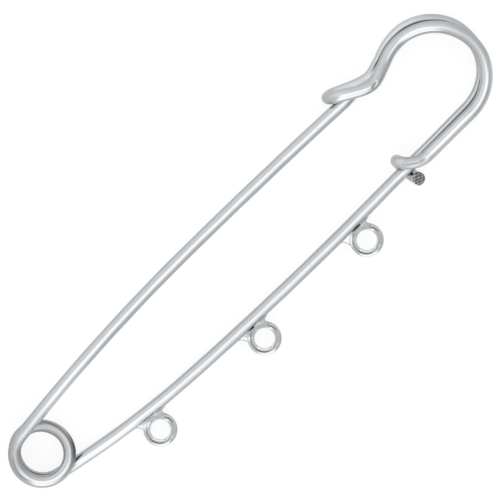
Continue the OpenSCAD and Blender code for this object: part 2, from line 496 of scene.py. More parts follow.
def tube_points(path, radii, tangents, side):
    """Rings of points round a path, as an array of ring, side and coordinate."""
    normals = carried(side, tangents)
    across = np.cross(tangents, normals)
    a = SIDE_ANGLES[:, None]
    spokes = np.cos(a) * normals[:, None] + np.sin(a) * across[:, None]
    return path[:, None] + radii[:, None, None] * spokes, normals[-1]


def tube_faces(rings):
    faces = []
    for i in range(rings - 1):
        for k in range(SIDES):
            a = i * SIDES + k
            b = i * SIDES + (k + 1) % SIDES
            faces.append((a, a + SIDES, b + SIDES, b))
    return faces


def flat_end(ring, outward):
    """Flat cap on a ring of points."""
    corners = [ring * SIDES + k for k in range(SIDES)]
    return tuple(corners) if outward else tuple(reversed(corners))


def add_pointed_wire(name, rings, tip):
    """New wire with a flat cap on its first ring of points, and its last ring closed by a vertex."""
    last = (len(rings) - 1) * SIDES
    to_tip = [(last + k, len(rings) * SIDES, last + (k + 1) % SIDES) for k in range(SIDES)]
    faces = [*tube_faces(len(rings)), flat_end(0, True), *to_tip]
    return add_mesh(name, np.vstack([rings.reshape(-1, 3), tip]), faces)


def sharpen(piece, rings):
    """Keeps the edges round the given rings sharp, so that a cap doesn't bend the wire's shading."""
    marked = {ring * SIDES + k for ring in rings for k in range(SIDES)}
    mesh = piece.data
    sharp = mesh.attributes.new("sharp_edge", "BOOLEAN", "EDGE")
    for e in mesh.edges:
        a, b = e.vertices
        same_ring = a // SIDES == b // SIDES
        sharp.data[e.index].value = same_ring and a in marked and b in marked


def note_tones_and_matte(piece, residue_and_painted_light, matte):
    """Stores each vertex's shares of darkening and of matte, which the material reads. The darkening is
    dark residue and painted shade, and a painted highlight where it is below zero.
    """
    for name, share in (("residue_and_painted_light", residue_and_painted_light), ("matte", matte)):
        attribute = piece.data.attributes.new(name, "FLOAT", "POINT")
        attribute.data.foreach_set("value", share)


def note_place(piece, place):
    """Stores a place for each vertex, which the material's drawing lines follow."""
    attribute = piece.data.attributes.new("wire_place", "FLOAT_VECTOR", "POINT")
    attribute.data.foreach_set("vector", place.ravel())


def note_wire_place(piece, path):
    """Stores each vertex's place on the wire: the distance along it, and its offsets from the middle."""
    place = np.zeros((len(path), SIDES, 3))
    place[..., 0] = distance_along(path)[:, None]
    place[..., 1] = WIRE_R * np.cos(SIDE_ANGLES)
    place[..., 2] = WIRE_R * np.sin(SIDE_ANGLES)
    on_cap = len(piece.data.vertices) - len(path) * SIDES
    note_place(piece, np.vstack([place.reshape(-1, 3), np.repeat(place[-1, :1], on_cap, axis=0)]))


# Unevenness and dents of the wire, and its matte, painted shade and painted highlights
def uneven(rings, path):
    """Rings of points drawn in by the slight waves of a drawn wire, which fade to none at its two ends."""
    s = distance_along(path)[:, None]
    wave = sum(height * (np.sin(count * SIDE_ANGLES + twist * s) - 1) for count, twist, height in WAVES)
    fade = smooth_step(np.minimum(s, s[-1] - s) / WAVES_FADE)
    outward = (rings - path[:, None]) / np.linalg.norm(rings - path[:, None], axis=2, keepdims=True)
    return rings + outward * (wave * fade)[..., None]


def pressed(rings, middle, heading, half_l, half_w):
    """How strongly a tool pressed on each vertex, from zero to one."""
    away = rings - np.array(middle)
    u = away @ level(polar(1, heading), 0)
    v = away @ level(polar(1, heading + 90), 0)
    return np.exp(-(u / half_l) ** 4 - (v / half_w) ** 2) * (np.linalg.norm(away, axis=2) < DENT_REACH)


def dented(rings, path):
    """Rings of points pushed in where the bending tools pressed, and the share of darkening there."""
    tone_shift = np.zeros(rings.shape[:2])
    inward = (path[:, None] - rings) / WIRE_R
    for _, middle, heading, half_l, half_w, depth, share in DENTS:
        press = pressed(rings, middle, heading, half_l, half_w)
        rings = rings + inward * (depth * press)[..., None]
        tone_shift = np.maximum(tone_shift, share * press)
    return rings, tone_shift.ravel()


def flared(rings, path):
    """Rings of points with the cut end pressed a little wider."""
    s = distance_along(path)
    wider = CUT_FLARE * smooth_step((s - s[-1] + CUT_FLARE_L) / CUT_FLARE_L)
    return path[:, None] + (rings - path[:, None]) * (1 + wider)[:, None, None]


def gaps_to(ring, middle, path):
    """Distances from a ring of points to the surface of a stretch of wire, if that comes near."""
    near = path[np.linalg.norm(path - middle, axis=1) < SEARCH_R]
    if not len(near):
        return np.full(len(ring), SEARCH_R)
    return np.linalg.norm(ring[:, None] - near, axis=2).min(axis=1) - WIRE_R


def within_crevice(gap, reach):
    """Share of a ring of points that lies in a crevice, by its distances to another stretch of wire."""
    near = smooth_step((CREVICE_GAP - gap.min()) / CREVICE_ONSET)
    return near * smooth_step((gap.min() + reach - gap) / CREVICE_EDGE)


def gaps_to_self(rings, path):
    """For each ring of a wire, its distances to the rest of the same wire."""
    s = distance_along(path)
    return [gaps_to(ring, path[i], path[np.abs(s - s[i]) > STRETCH_L]) for i, ring in enumerate(rings)]


def crevice_shade_at(x):
    """Full painted shade in the crevices at the coil and the head, and little at the wrap."""
    return CREVICE_SHADE if x <= COIL_D else mix(WRAP_CREVICE_SHADE, CREVICE_SHADE, smooth_step(x - CREVICE_SHADE_FROM_X))


def frame_crevices(rings, path, coil_turn):
    """Share of painted shade on the frame wire, where it comes near to itself or to the coil."""
    share = []
    for ring, middle, to_self in zip(rings, path, gaps_to_self(rings, path)):
        to_coil = gaps_to(ring, middle, coil_turn) + CREVICE_GAP - COIL_CREVICE_GAP
        far_side = smooth_step((middle[1] - CREVICE_NARROWS_FROM_Y) / CREVICE_NARROWS_OVER)
        inside = within_crevice(np.minimum(to_self, to_coil), mix(*CREVICE_REACH, far_side))
        share.append(crevice_shade_at(middle[0]) * inside)
    return np.concatenate(share)


def coil_crevices(rings, path):
    """Share of painted shade on the coil, where one turn comes near to the next."""
    inside = [within_crevice(gap, COIL_CREVICE_REACH) for gap in gaps_to_self(rings, path)]
    return CREVICE_SHADE * np.concatenate(inside)


def coil_matte_and_shade(degrees):
    """Shares of matte and of painted shade on the coil at some angles round it."""
    matte = strongest(degrees, [(arc, share) for arc, share, _ in COIL_MATTE_AND_SHADE])
    tone_shift = strongest(degrees, [(arc, share) for arc, _, share in COIL_MATTE_AND_SHADE])
    return matte, tone_shift


def coil_flank_shade(degrees, rings, path):
    """Share of painted shade on the coil's outer flank: a dark line and the shade past it."""
    heading = np.radians(degrees)
    outward = np.stack([np.cos(heading), np.sin(heading), np.zeros(len(path))], axis=1)
    out = np.einsum("ikc,ic->ik", rings - path[:, None], outward) / WIRE_R
    out -= np.interp((degrees + 180) % 360 - 180, FLANK_ANGLES, FLANK_FROM)[:, None]
    line = strongest(degrees, FLANK_LINES)[:, None] * np.exp(-(out / FLANK_LINE_W) ** 2)
    shade = strongest(degrees, FLANK_SHADES)[:, None] * smooth_step(out / FLANK_SHADE_W)
    return np.maximum(line, shade).ravel()


def painted_highlight(rings, path, share, fade):
    """Painted highlight, as a share below zero, on the outer side of a wire near the coil's ends."""
    side = smooth_step((path[:, None, 1] - rings[..., 1]) / (HIGHLIGHT_SIDE * WIRE_R))
    return share * (fade[:, None] * side).ravel()


def wire_painted_highlight(rings, path, share):
    """Painted highlight on a wire that leaves the coil."""
    return painted_highlight(rings, path, share, smooth_step((HIGHLIGHT_L - distance_along(path)) / HIGHLIGHT_FADE))


def coil_painted_highlight(rings, path):
    """Painted highlight on the coil, beside the arm and beside the spine."""
    s = distance_along(path)
    near_arm = smooth_step((COIL_HIGHLIGHT_L - s) / COIL_HIGHLIGHT_FADE)
    near_spine = smooth_step((COIL_HIGHLIGHT_L - s[-1] + s) / COIL_HIGHLIGHT_FADE)
    return painted_highlight(rings, path, ARM_PAINTED_HIGHLIGHT, near_arm) + painted_highlight(rings, path, SPINE_PAINTED_HIGHLIGHT, near_spine)


def patched(rings):
    """Shares of matte and of painted shade and highlight on the frame wire from its patches."""
    matte = np.zeros(rings.shape[:2])
    tone_shift = np.zeros(rings.shape[:2])
    for _, middle, (radius, half_height), patch_matte, patch_painted_light in PATCHES:
        away = rings - np.array(middle)
        distance = np.hypot(np.hypot(away[..., 0], away[..., 1]) / radius, away[..., 2] / half_height)
        share = smooth_step((PATCH_END - distance) / PATCH_FADE)
        matte = np.maximum(matte, patch_matte * share)
        tone_shift = tone_shift + patch_painted_light * share
    return matte.ravel(), tone_shift.ravel()


# Arm, coil and frame wires: their shared ends have the same points
arm_path = bowed_path(ARM_AT, ARM_HEADING, ARM_BENDS, ARM_Z, 1, arm_stations())
coil = coil_path()
wire = frame_path()

arm_tangents = directions(arm_path, level(polar(1, ARM_HEADING), 0))
coil_tangents = directions(coil, -arm_tangents[0])
wire_tangents = directions(wire, coil_tangents[-1])

arm_rings, _ = tube_points(arm_path, arm_radius(arm_stations()), arm_tangents, UP)
coil_rings, coil_side = tube_points(coil, np.full(len(coil), WIRE_R), coil_tangents, UP)
wire_rings, _ = tube_points(wire, np.full(len(wire), WIRE_R), wire_tangents, coil_side)

# Painted shade in the crevices where the frame wire comes near itself and near the coil, and between the
# coil's turns
upper_turn = coil[:-len(coil) // 3]
wire_crevice_shade = frame_crevices(wire_rings, wire, upper_turn)
coil_crevice_shade = coil_crevices(coil_rings, coil)

arm_rings = uneven(arm_rings, arm_path)
coil_rings = uneven(coil_rings, coil)
wire_rings, dent_darkening = dented(uneven(wire_rings, wire), wire)
wire_rings = flared(wire_rings, wire)


def rounded_point(rings, path, tangents):
    """Half-round end rings for the arm's point, and the vertex that closes it."""
    middle = path[-1]
    spokes = rings[-1] - middle
    extra = []
    for a in POINT_ANGLES:
        c = math.cos(math.radians(a))
        s = math.sin(math.radians(a))
        extra.append(middle + spokes * c + tangents[-1] * POINT_R * s)
    return np.concatenate([rings, np.array(extra)]), middle + tangents[-1] * POINT_R


def build_arm():
    rings, tip = rounded_point(arm_rings, arm_path, arm_tangents)
    piece = add_pointed_wire("sharp_arm", rings, tip)
    sharpen(piece, [0])
    path = np.vstack([arm_path, np.repeat(arm_path[-1:], len(POINT_ANGLES), axis=0)])
    note_wire_place(piece, path)
    fade = smooth_step(1 - distance_along(path) / MATTE_AND_SHADE_FADE)
    # Painted shade from the coil, fading along the arm, and a painted highlight on the arm's outer side
    matte, coil_shade = coil_matte_and_shade(COIL_START)
    tone_shift = np.repeat(coil_shade * fade ** SHADE_FADE_POWER, SIDES) + wire_painted_highlight(rings, path, ARM_PAINTED_HIGHLIGHT)
    note_tones_and_matte(piece, np.append(tone_shift, 0), np.append(np.repeat(matte * fade, SIDES), 0))
    return piece


def build_coil():
    faces = [*tube_faces(len(coil)), flat_end(0, True), flat_end(len(coil) - 1, False)]
    piece = add_mesh("coil_wire", coil_rings.reshape(-1, 3), faces)
    sharpen(piece, [0, len(coil) - 1])
    note_wire_place(piece, coil)
    degrees = np.linspace(COIL_START, COIL_END, len(coil))
    # Painted shade in the crevices, along the outer flank and over most of the coil, and painted highlights
    # at its ends
    matte, coil_shade = coil_matte_and_shade(degrees)
    flank = coil_flank_shade(degrees, coil_rings, coil)
    tone_shift = np.maximum.reduce([coil_crevice_shade, flank, np.repeat(coil_shade, SIDES)])
    note_tones_and_matte(piece, tone_shift + coil_painted_highlight(coil_rings, coil), np.repeat(matte, SIDES))
    return piece


def shear_marks(u, v):
    """Uneven ridges along u over the cut, and the finer tearing on them."""
    torn = np.sin(7.3 * u + 5.1 * v + 0.8) * np.sin(11.7 * v - 4.3 * u)
    sway = 1.3 * np.sin(2.4 * u + 1) + 1.5 * np.sin(4.1 * v)
    return np.sin(2 * np.pi * v / CUT_PITCH + sway) + CUT_TEAR * torn, torn


def cut_face(ring, middle, outward):
    """Rings of points over the sheared end, the vertex in its middle, and their shares of painted dark
    reflection, with painted shade along the ridges and tears.
    """
    along_way = level(polar(1, CUT_HEADING), 0)
    along_way = unit(along_way - (along_way @ outward) * outward)
    across_way = np.cross(outward, along_way)
    fractions = np.append(CUT_RINGS, 0)
    flat = (ring - middle)[None] * fractions[:, None, None]
    v = flat @ across_way
    ridge, torn = shear_marks(flat @ along_way, v)
    height = CUT_BEVEL + CUT_STEP * smooth_step(0.5 + v / CUT_STEP_W) + CUT_RIDGE * ridge
    inside = smooth_step((1 - fractions) / CUT_EDGE)[:, None]
    points = middle + flat + (height * inside)[..., None] * outward
    dark = np.clip(inside * (CUT_PAINTED_DARK - RIDGE_PAINTED_SHADE * ridge - TEAR_PAINTED_SHADE * torn), 0, 1)
    return points[:-1], points[-1, 0], np.append(dark[:-1], dark[-1, 0])


def build_frame_wire():
    face_rings, tip, dark = cut_face(wire_rings[-1], wire[-1], wire_tangents[-1])
    piece = add_pointed_wire("frame_wire", np.concatenate([wire_rings, face_rings]), tip)
    sharpen(piece, [0, len(wire) - 1])
    note_wire_place(piece, wire)
    # Painted shade and highlights from the patches and next to the coil; painted shade in the crevices and
    # along the ring joints, and darkening in the dents
    matte, tone = patched(wire_rings)
    tone = tone + wire_painted_highlight(wire_rings, wire, SPINE_PAINTED_HIGHLIGHT)
    tone_shift = np.maximum.reduce([wire_crevice_shade, dent_darkening, joint_shade(wire_rings.reshape(-1, 3))])
    tone_shift = np.where(tone_shift > 0, np.maximum(tone_shift, tone), tone)
    note_tones_and_matte(piece, np.concatenate([tone_shift, dark]), np.append(matte, np.zeros(len(dark))))
    return piece


# Soldered rings: closed surfaces round a field of distances, which is sampled on a net in the ring's frame
NET_STEP = 0.036
NET_LOW = np.array([-3.25, -2.15, -0.95])
NET_HIGH = np.array([3.25, 3.0, 0.95])
SETTLE_ROUNDS = 3
SETTLE_H = 0.004
LEAST_SLOPE_SQUARE = 0.2
SPINE_FIT_X = 5
SPINE_FIT_Y = 1

# Ring: each face slopes from the hole outwards, and is level in places inside a groove that runs round it
RING_IN_R = 1.20
RING_OUT_R = 2.0
RING_HALF = 0.41
RIM_ROUND = 0.09
FACE_SOFT = 0.06
FACE_SLOPE = 0.42
FRONT_SLOPE = 0.16
FRONT_ARC = (-128, 44, 14)
LEVEL_R = 1.46
LEVEL_HALF = 0.28
LEVEL_ARCS = [(-130, 34, 20), (12, 14, 14)]
GROOVE_W = 0.07
GROOVE_DEPTH = 0.10
GROOVE_ARCS = [(-155, 76, 25), (8, 24, 10)]

# Groove's radius at a few angles round the ring
GROOVE_LINE = [
    (-180, 1.66),
    (-130, 1.62),
    (-67, 1.53),
    (-10, 1.72),
    (32, 1.60),
    (150, 1.70),
    (180, 1.66),
]

# Solder film on the coil's side: its half thickness, the radius of its sagging edge, and where it ends on
# the ring, in degrees
FILM_HALF = 0.15
FILM_SAG_R = 1.3
FILM_FROM = 40
FILM_END_SOFT = 14

# Solder that floods the ring beside the spine: a roof that falls two ways, with a fillet on the head's side
FLOOD_HALF = 0.42
FLOOD_SLOPE = 0.24
FLOOD_WAYS = (50, 140)
FLOOD_SOFT = 0.35
FILLET_R = 0.38
WEB_LEAST_HALF = 0.12
WEB_PAST_FILM = 0.3
WEB_FROM_Y = 0.9
WEB_ROUND = 0.08
ROOF_ROUND = 0.1
RIPPLE = 0.004
HOLE_CLEAR = 0.08
JOIN_ROUND = 0.05

# How far the solder climbs the spine, from the coil's side to the head's
SOLDER_CLIMB = (0.06, 0.50)
CLIMB_FROM_X = 0.1
CLIMB_OVER = 0.8

# Channel beside the spine: how narrow it starts, and its half height
CHANNEL_START = 0.25
CHANNEL_HALF = 0.30
CHANNEL_IN_SPINE = 0.01

# Shell of solder inside the spine's skin, which closes each ring's surface
SHELL_UNDER = 0.02
SHELL_DEPTH = 0.18
SHELL_REACH = 3.1
SHELL_PAST = 0.2

# Painted shade in the groove as arcs with their share, and at a channel that is wide enough to see; dark
# residue over the solder; and painted shade along the film's edge, and on the spine along its joint with
# the ring
GROOVE_SHADE_ARCS = [((-142, 34, 20), 1.0), ((-160, 92, 22), 0.5), ((12, 22, 8), 0.85)]
CHANNEL_SHADE = 0.85
CHANNEL_SHADE_REACH = 0.072
CHANNEL_SHADE_FADE = 0.06
CHANNEL_SEEN_R = 0.05
SOLDER_STAIN = 0.22
SOLDER_STAIN_REACH = 0.05
SOLDER_STAIN_FADE = 0.1
FILM_EDGE_SHADE = 0.7
FILM_EDGE_W = 0.07
FILM_EDGE_TO_X = -1.2
JOINT_SHADE = 0.45
JOINT_W = 0.28
JOINT_FROM_X = -1.6
JOINT_TO_X = 1.9
JOINT_FADES = (0.8, 0.5)

# Shares of matte on the ring and on the solder
RING_MATTE = (0.12, 0.60)


def crossed_edges(field, a):
    """Grid edges along an axis that the surface crosses, the crossings, and which of them face back."""
    near = np.take(field, range(field.shape[a] - 1), axis=a)
    far = np.take(field, range(1, field.shape[a]), axis=a)
    edges = np.argwhere((near < 0) != (far < 0))
    at = tuple(edges.T)
    spots = edges.astype(float)
    spots[:, a] += near[at] / (near[at] - far[at])
    return edges, spots, near[at] > 0


def cells_around(edges, a, shape):
    """The four grid cells round each edge, in turn."""
    b, c = (a + 1) % 3, (a + 2) % 3
    cells = []
    for step_b, step_c in ((1, 1), (0, 1), (0, 0), (1, 0)):
        cell = edges.copy()
        cell[:, b] -= step_b
        cell[:, c] -= step_c
        cells.append(np.ravel_multi_index(tuple(cell.T), shape))
    return np.stack(cells, axis=1)


def net(field):
    """Vertices and quads of the surface where a field on a grid turns from below zero to above."""
    shape = np.array(field.shape) - 1
    total = np.zeros((shape.prod(), 3))
    count = np.zeros(shape.prod())
    quads = []
    for a in range(3):
        edges, spots, facing_back = crossed_edges(field, a)
        around = cells_around(edges, a, shape)
        for cells in around.T:
            np.add.at(total, cells, spots)
            np.add.at(count, cells, 1)
        around[facing_back] = around[facing_back][:, ::-1]
        quads.append(around)
    used = np.flatnonzero(count)
    place = np.full(len(count), -1)
    place[used] = np.arange(len(used))
    points = NET_LOW + NET_STEP * total[used] / count[used, None]
    return points, place[np.vstack(quads)]


def settle(points, field):
    """Moves points onto the surface where the field is zero."""
    for _ in range(SETTLE_ROUNDS):
        slope = np.stack([
            (field(points + SETTLE_H * axis) - field(points - SETTLE_H * axis)) / (2 * SETTLE_H)
            for axis in np.eye(3)
        ], axis=1)
        square = np.maximum((slope ** 2).sum(axis=1), LEAST_SLOPE_SQUARE)
        step = np.clip(field(points) / square, -NET_STEP, NET_STEP)
        points = points - step[:, None] * slope / np.sqrt(square)[:, None]
    return points


def local_spine(station):
    """Ring's frame at a station, and the spine's middle in it as curves in the frame's x."""
    foot, heading = along(SPINE_AT, SPINE_HEADING, SPINE_BENDS, station)
    z = mix(SPINE_Z[0], SPINE_Z[1], (station / SPINE_L) ** SPINE_LIFT)
    origin = level(foot + polar(RING_OFFSET, heading - 90), z)
    x_axis = level(polar(1, heading), 0)
    y_axis = level(polar(1, heading + 90), 0)
    axes = np.stack([x_axis, y_axis, UP])
    here = (wire - origin) @ axes.T
    near = (np.abs(here[:, 0]) < SPINE_FIT_X) & (np.abs(here[:, 1] - RING_OFFSET) < SPINE_FIT_Y)
    here = here[near]
    y_curve = np.polyfit(here[:, 0], here[:, 1], 2)
    z_curve = np.polyfit(here[:, 0], here[:, 2], 2)
    return origin, axes, y_curve, z_curve


def round_place(x, y):
    """Distance from a ring's middle, and the way there in degrees."""
    return np.hypot(x, y), np.degrees(np.arctan2(y, x))


def in_groove(rho, degrees):
    """One along the groove round a ring's face, falling to zero beside it."""
    angles, radii = zip(*GROOVE_LINE)
    return np.exp(-((rho - np.interp(degrees, angles, radii)) / GROOVE_W) ** 2)


def on_film(x, y, film):
    """One on the film's side of its boundary with the thicker solder, and zero past it."""
    heading, start, _ = film
    way = polar(1, heading)
    return smooth_step(0.5 + (way[0] * x + way[1] * y - start) / FLOOD_SOFT)


def under_film(x, y, on_ring, film):
    """One where the film covers a ring's face, and zero past its edges."""
    rho, degrees = round_place(x, y)
    edge_at = math.degrees(math.atan2(on_ring[1], on_ring[0]))
    _, _, from_r = film
    covered = on_film(x, y, film) * smooth_step((rho - from_r) / FACE_SOFT)
    return covered * smooth_step((edge_at - degrees) / FILM_END_SOFT) * (degrees > FILM_FROM)


def face_half(x, y, on_ring, film):
    """Half thickness of a ring at a place in its plane."""
    rho, degrees = round_place(x, y)
    slope = mix(FACE_SLOPE, FRONT_SLOPE, in_arc(degrees, *FRONT_ARC))
    land = RING_HALF - slope * (rho - RING_IN_R)
    level_in = np.minimum(land, mix(RING_HALF, LEVEL_HALF, in_arcs(degrees, LEVEL_ARCS)))
    half = mix(level_in, land, smooth_step(0.5 + (rho - LEVEL_R) / FACE_SOFT))
    half -= GROOVE_DEPTH * in_groove(rho, degrees) * in_arcs(degrees, GROOVE_ARCS)
    return mix(half, FILM_HALF, under_film(x, y, on_ring, film))


def ring_shape(x, y, z, on_ring, film):
    """Field of the ring alone."""
    rho, _ = round_place(x, y)
    rim = np.maximum(rho - RING_OUT_R, RING_IN_R - rho)
    return smooth_max(np.abs(z) - face_half(x, y, on_ring, film), rim, RIM_ROUND)


def web_outline(x, y, on_spine, on_ring):
    """Distance outside the solder from above: a sagging edge on the coil's side, a fillet on the other."""
    a = np.array(on_spine)
    b = np.array(on_ring)
    chord = np.linalg.norm(b - a)
    outward = np.array([b[1] - a[1], a[0] - b[0]]) / chord
    centre = (a + b) / 2 + outward * math.sqrt(FILM_SAG_R ** 2 - chord ** 2 / 4)
    coil_side = FILM_SAG_R - np.hypot(x - centre[0], y - centre[1])
    fillet_y = RING_OFFSET - WIRE_R - FILLET_R
    fillet_x = math.sqrt((RING_OUT_R + FILLET_R) ** 2 - fillet_y ** 2)
    head_side = FILLET_R - np.hypot(x - fillet_x, y - fillet_y)
    touch = np.array([fillet_x, fillet_y]) * RING_OUT_R / (RING_OUT_R + FILLET_R)
    up_fillet = smooth_step((y - touch[1]) / (fillet_y + FILLET_R - touch[1]))
    past_fillet = x - mix(touch[0], fillet_x, up_fillet)
    past_film = a[0] - WEB_PAST_FILM - x
    return np.maximum.reduce([coil_side, head_side, past_fillet, past_film, WEB_FROM_Y - y])


def web_half(x, y, film):
    """Half thickness of the solder: a thin film on the coil's side, and a roof past the ring."""
    falls = [polar(1, heading) for heading in FLOOD_WAYS]
    down = smooth_max(*[way[0] * x + way[1] * (y - RING_IN_R) for way in falls], ROOF_ROUND)
    flood = FLOOD_HALF - FLOOD_SLOPE * down
    ripples = RIPPLE * np.sin(9 * x + 3 * y + 1) * np.sin(11 * y - 2 * x)
    return np.clip(mix(flood, FILM_HALF, on_film(x, y, film)), WEB_LEAST_HALF, RING_HALF) + ripples


def to_channel(p, x_from, x_to, r):
    """Distance to a short channel beside the spine, widest at its far end."""
    x = np.clip(p[:, 0], x_from, x_to)
    y = RING_OFFSET - WIRE_R + CHANNEL_IN_SPINE
    widening = CHANNEL_START + (1 - CHANNEL_START) * (x - x_from) / (x_to - x_from)
    sideways = np.hypot(p[:, 0] - x, p[:, 1] - y)
    return np.hypot(sideways, 0.5 * (np.abs(p[:, 2]) - CHANNEL_HALF)) - r * widening


def ring_field(on_spine, on_ring, channel, film, y_curve, z_curve):
    """Function of points in a ring's frame that is below zero inside the ring and its solder."""
    def field(p):
        x, y, z = p.T
        ring = ring_shape(x, y, z, on_ring, film)
        spine_z = np.polyval(z_curve, x)
        spine = np.hypot(y - np.polyval(y_curve, x), z - spine_z) - WIRE_R
        hole = RING_IN_R + HOLE_CLEAR - np.hypot(x, y)
        outline = np.maximum(web_outline(x, y, on_spine, on_ring), hole)
        web = smooth_max(outline, np.abs(z - spine_z * 0.5) - web_half(x, y, film), WEB_ROUND)
        web = np.maximum(web, -to_channel(p, *channel))
        climb = mix(*SOLDER_CLIMB, smooth_step((x - CLIMB_FROM_X) / CLIMB_OVER))
        solid = smooth_min(smooth_min(ring, web, JOIN_ROUND), spine + SHELL_UNDER, climb)
        inner = -(spine + SHELL_DEPTH)
        return np.maximum.reduce([solid, inner, np.abs(x) - SHELL_REACH, y - RING_OFFSET - SHELL_PAST])
    return field


def ring_shade_residue_and_matte(points, on_spine, on_ring, channel, film):
    """Shares of painted shade, of dark residue over the solder, and of matte on each point of a ring."""
    x, y, _ = points.T
    rho, degrees = round_place(x, y)
    groove = in_groove(rho, degrees) * strongest(degrees, GROOVE_SHADE_ARCS)
    _, _, channel_r = channel
    near_channel = smooth_step((CHANNEL_SHADE_REACH - to_channel(points, *channel)) / CHANNEL_SHADE_FADE)
    near_channel = near_channel * (channel_r > CHANNEL_SEEN_R)
    outline = web_outline(x, y, on_spine, on_ring)
    solder = smooth_step((SOLDER_STAIN_REACH - outline) / SOLDER_STAIN_FADE) * (1 - on_film(x, y, film))
    film_edge = np.exp(-(outline / FILM_EDGE_W) ** 2) * (rho > RING_OUT_R) * (x < FILM_EDGE_TO_X)
    tone_shift = groove + CHANNEL_SHADE * near_channel + SOLDER_STAIN * solder + FILM_EDGE_SHADE * film_edge
    return np.clip(tone_shift, 0, 1), mix(*RING_MATTE, solder)


def joint_shade(points):
    """Share of painted shade on the spine, along its joint with each ring."""
    share = np.zeros(len(points))
    for row in RINGS:
        origin, axes, _, _ = local_spine(row["station"])
        x, y, z = ((points - origin) @ axes.T).T
        beside = np.exp(-((y - RING_OFFSET + WIRE_R) / JOINT_W) ** 2) * (np.abs(z) < WIRE_R)
        starts = smooth_step((x - JOINT_FROM_X) / JOINT_FADES[0])
        ends = smooth_step((JOINT_TO_X - x) / JOINT_FADES[1])
        share = np.maximum(share, JOINT_SHADE * beside * (starts * ends))
    return share


def build_ring(name, station, on_spine, on_ring, channel, film):
    origin, axes, y_curve, z_curve = local_spine(station)
    field = ring_field(on_spine, on_ring, channel, film, y_curve, z_curve)
    counts = np.ceil((NET_HIGH - NET_LOW) / NET_STEP).astype(int) + 1
    grid = NET_LOW + NET_STEP * np.moveaxis(np.indices(counts), 0, -1)
    points, quads = net(field(grid.reshape(-1, 3)).reshape(counts))
    points = settle(points, field)
    piece = add_mesh(name, points @ axes + origin, quads.tolist())
    x, y, z = points.T
    note_place(piece, np.stack([np.arctan2(y, x) * RING_OUT_R, np.hypot(x, y), z], axis=1))
    # Painted shade in the groove, at the channel and along the film's edge, and dark residue over the
    # solder
    note_tones_and_matte(piece, *ring_shade_residue_and_matte(points, on_spine, on_ring, channel, film))
    return piece


# Plating: its clean tints and its roughness from low to high, how deep its drawing lines look, the noises
# that spread them, and what matte and the share of residue, painted shade and painted highlight add
TINT_LOW = (0.575, 0.59, 0.603, 1)
TINT_HIGH = (0.605, 0.617, 0.628, 1)
ROUGHNESS = (0.05, 0.09)
LINE_RELIEF = 0.15
LINE_DEPTH = 0.00002
LINE_NOISE = {"scale": 1.0, "stretch": (0.35, 9, 9), "detail": 3}
LINE_RANGE = (0.3, 0.7)
CLOUD_NOISE = {"scale": 0.5, "stretch": (1, 1.6, 1.6), "detail": 2}
CLOUD_RANGE = (0.35, 0.65)
SHADE_AND_RESIDUE_COLOUR = (0.09, 0.085, 0.08, 1)
DARKENED_ROUGHNESS = 0.3
MATTE_ROUGHNESS = 0.42


# Materials
def fill(tree, node, inputs):
    """Gives each named input of a node a constant, or links it to another node's socket."""
    for key, value in inputs.items():
        if isinstance(value, bpy.types.NodeSocket):
            tree.links.new(value, node.inputs[key])
        else:
            node.inputs[key].default_value = value


def new_material(name):
    material = bpy.data.materials.new(name)
    material.use_nodes = True
    nodes = material.node_tree.nodes
    nodes.clear()
    output = nodes.new("ShaderNodeOutputMaterial")
    shader = nodes.new("ShaderNodeBsdfPrincipled")
    material.node_tree.links.new(shader.outputs["BSDF"], output.inputs["Surface"])
    return material, shader


def noise(tree, coordinates, scale, stretch, detail):
    mapping = tree.nodes.new("ShaderNodeMapping")
    texture = tree.nodes.new("ShaderNodeTexNoise")
    fill(tree, mapping, {"Vector": coordinates, "Scale": stretch})
    fill(tree, texture, {"Vector": mapping.outputs["Vector"], "Scale": scale, "Detail": detail})
    return texture.outputs["Fac"]


def ramp(tree, value, low, high, start, end):
    """Number that goes from start to end as a value goes from low to high."""
    node = tree.nodes.new("ShaderNodeMapRange")
    fill(tree, node, {"Value": value, "From Min": low, "From Max": high, "To Min": start, "To Max": end})
    return node.outputs["Result"]


def calculate(tree, operation, a, b):
    """Math node on numbers or sockets."""
    node = tree.nodes.new("ShaderNodeMath")
    node.operation = operation
    fill(tree, node, {0: a, 1: b})
    return node.outputs[0]


def noted(tree, name):
    """Node that reads what is stored on the vertices under a name."""
    node = tree.nodes.new("ShaderNodeAttribute")
    node.attribute_name = name
    return node


def tinted(tree, share, a, b):
    """Colour that goes from one to another by a share, which may be below zero."""
    node = tree.nodes.new("ShaderNodeMix")
    node.data_type = "RGBA"
    node.clamp_factor = False
    fill(tree, node, {"Factor": share, "A": a, "B": b})
    return node.outputs["Result"]


